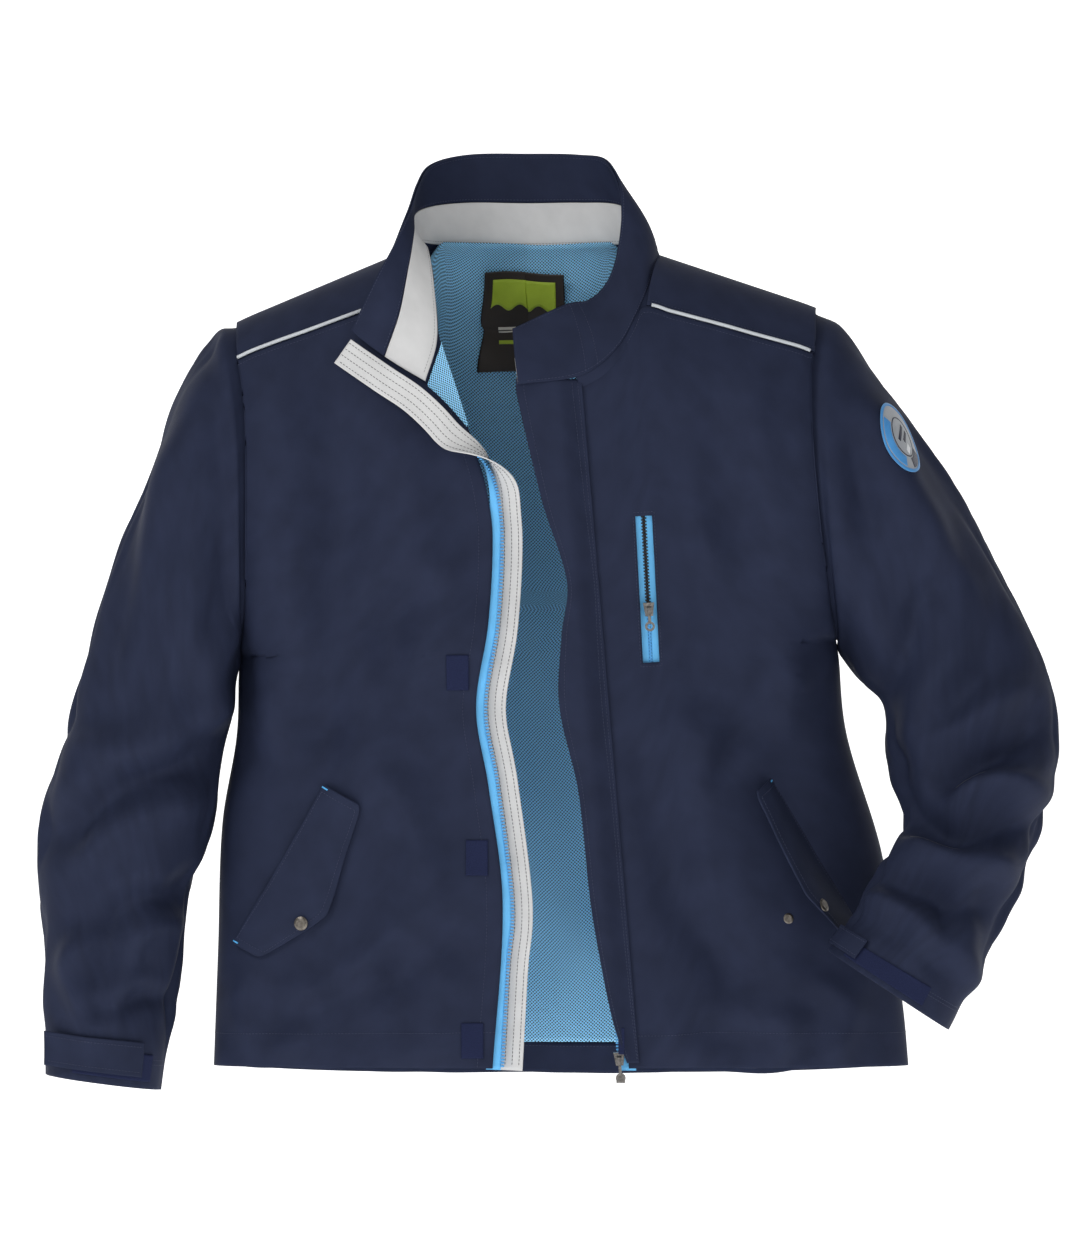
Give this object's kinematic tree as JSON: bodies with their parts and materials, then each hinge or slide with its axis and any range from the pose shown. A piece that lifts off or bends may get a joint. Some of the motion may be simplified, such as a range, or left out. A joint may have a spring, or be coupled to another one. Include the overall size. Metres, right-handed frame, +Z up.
{
  "type": "foul weather jacket",
  "caption": "Men's foul weather jacket with stand collar, mesh lining, full-length zip under a storm flap, chest zip pocket and slanted hand pockets.",
  "frame": {"origin": "middle of the neck hole at the level of the neck seam, where the shoulders of the wearer or hanger carry the jacket", "axes": "+Z up, -Y out of the front, +X towards the wearer's left"},
  "size_m": [0.9179, 0.2796, 0.8526],
  "materials": {
    "shell": "navy coated polyester, matt with a soft sheen",
    "mesh_lining": "bright blue open mesh",
    "inner_taffeta": "dark navy taffeta",
    "grey_cloth": "light grey woven cloth",
    "piping": "silver grey reflective piping",
    "zip_blue": "light blue tape and moulded teeth",
    "zip_metal": "gunmetal",
    "snap_metal": "antique gunmetal plating",
    "hook_and_loop": "navy hook and loop tape",
    "label": "woven label, dark brown and lime",
    "badge": "moulded badge, grey with blue rim"
  },
  "bodies": {
    "body": {"front_panel_right": "shell", "front_panel_left": "shell", "back_panel": "shell", "back_yoke": "shell", "front_yoke_right": "shell", "front_yoke_left": "shell", "back_lining": "mesh_lining", "back_hem_facing": "shell", "neck_label": "label", "front_lining_right": "mesh_lining", "front_lining_left": "mesh_lining", "collar_shell": "shell", "collar_facing": "shell", "collar_band": "grey_cloth", "piping_right": "piping", "piping_left": "piping", "zip_tape_right": "zip_blue", "zip_guard": "grey_cloth", "lapel_lining": "mesh_lining", "hook_patch_top": "hook_and_loop", "hook_patch_middle": "hook_and_loop", "hook_patch_bottom": "hook_and_loop", "zip_tape_left": "zip_blue", "retaining_box": "zip_metal", "chest_zip_tape": "zip_blue", "chest_pocket_bag": "inner_taffeta", "pocket_welt_right": "shell", "hand_pocket_bag_right": "inner_taffeta", "snap_stud_right": "snap_metal", "pocket_welt_left": "shell", "hand_pocket_bag_left": "inner_taffeta", "snap_stud_left": "snap_metal"},
    "right_sleeve": {"sleeve_right": "shell", "sleeve_lining_right": "inner_taffeta", "cuff_loop_patch_right": "hook_and_loop"},
    "left_sleeve": {"sleeve_left": "shell", "sleeve_lining_left": "inner_taffeta", "cuff_loop_patch_left": "hook_and_loop", "sleeve_badge": "badge"},
    "right_cuff_tab": {"cuff_tab_right": "shell"},
    "left_cuff_tab": {"cuff_tab_left": "shell"},
    "right_pocket_flap": {"pocket_flap_right": "shell", "snap_cap_right": "snap_metal"},
    "left_pocket_flap": {"pocket_flap_left": "shell", "snap_cap_left": "snap_metal"},
    "storm_flap": {"storm_flap": "shell", "loop_patch_top": "hook_and_loop", "loop_patch_middle": "hook_and_loop", "loop_patch_bottom": "hook_and_loop"},
    "main_slider": {"main_slider": "zip_metal"},
    "main_pull": {"main_pull": "zip_metal"},
    "chest_slider": {"chest_slider": "zip_metal"},
    "chest_pull": {"chest_pull": "zip_metal"}
  },
  "joints": [
    {"name": "sleeve_right_swing", "type": "hinge", "parent": "body", "child": "right_sleeve", "pos_m": [-0.271, 0, -0.067], "axis": [0, 1, 0], "range_deg": [0, 25]},
    {"name": "sleeve_left_swing", "type": "hinge", "parent": "body", "child": "left_sleeve", "pos_m": [0.271, 0, -0.054], "axis": [0, -1, 0], "range_deg": [0, 25]},
    {"name": "cuff_tab_right_peel", "type": "hinge", "parent": "right_sleeve", "child": "right_cuff_tab", "pos_m": [-0.34891, -0.05295, -0.74945], "axis": [0.0988, -0.029, 0.9947], "range_deg": [0, 90]},
    {"name": "cuff_tab_left_peel", "type": "hinge", "parent": "left_sleeve", "child": "left_cuff_tab", "pos_m": [0.2719, -0.12968, -0.62529], "axis": [-0.6188, -0.2504, -0.7445], "range_deg": [0, 90]},
    {"name": "pocket_flap_right_lift", "type": "hinge", "parent": "body", "child": "right_pocket_flap", "pos_m": [-0.183, -0.07548, -0.483], "axis": [-0.4821, 0.2254, -0.8466], "range_deg": [0, 80]},
    {"name": "pocket_flap_left_lift", "type": "hinge", "parent": "body", "child": "left_pocket_flap", "pos_m": [0.216, -0.07502, -0.48], "axis": [-0.495, -0.142, 0.8572], "range_deg": [-50, 18]},
    {"name": "storm_flap_turn", "type": "hinge", "parent": "body", "child": "storm_flap", "pos_m": [0.049, -0.10575, -0.13], "axis": [-0.084, -0.0313, 0.996], "range_deg": [0, 70]},
    {"name": "main_slider_travel", "type": "slide", "parent": "body", "child": "main_slider", "axis": [-0.0741, -0.0307, 0.9968], "range_m": [0, 0.56]},
    {"name": "main_pull_swing", "type": "hinge", "parent": "main_slider", "child": "main_pull", "pos_m": [0.08314, -0.08875, -0.73054], "axis": [-0.9973, 0.0011, -0.0741], "range_deg": [0, 110]},
    {"name": "chest_slider_travel", "type": "slide", "parent": "body", "child": "chest_slider", "axis": [-0.0529, -0.0549, 0.9971], "range_m": [-0.035, 0.075]},
    {"name": "chest_pull_swing", "type": "hinge", "parent": "chest_slider", "child": "chest_pull", "pos_m": [0.10975, -0.10707, -0.32543], "axis": [-0.998, -0.0306, -0.0546], "range_deg": [0, 110]}
  ]
}
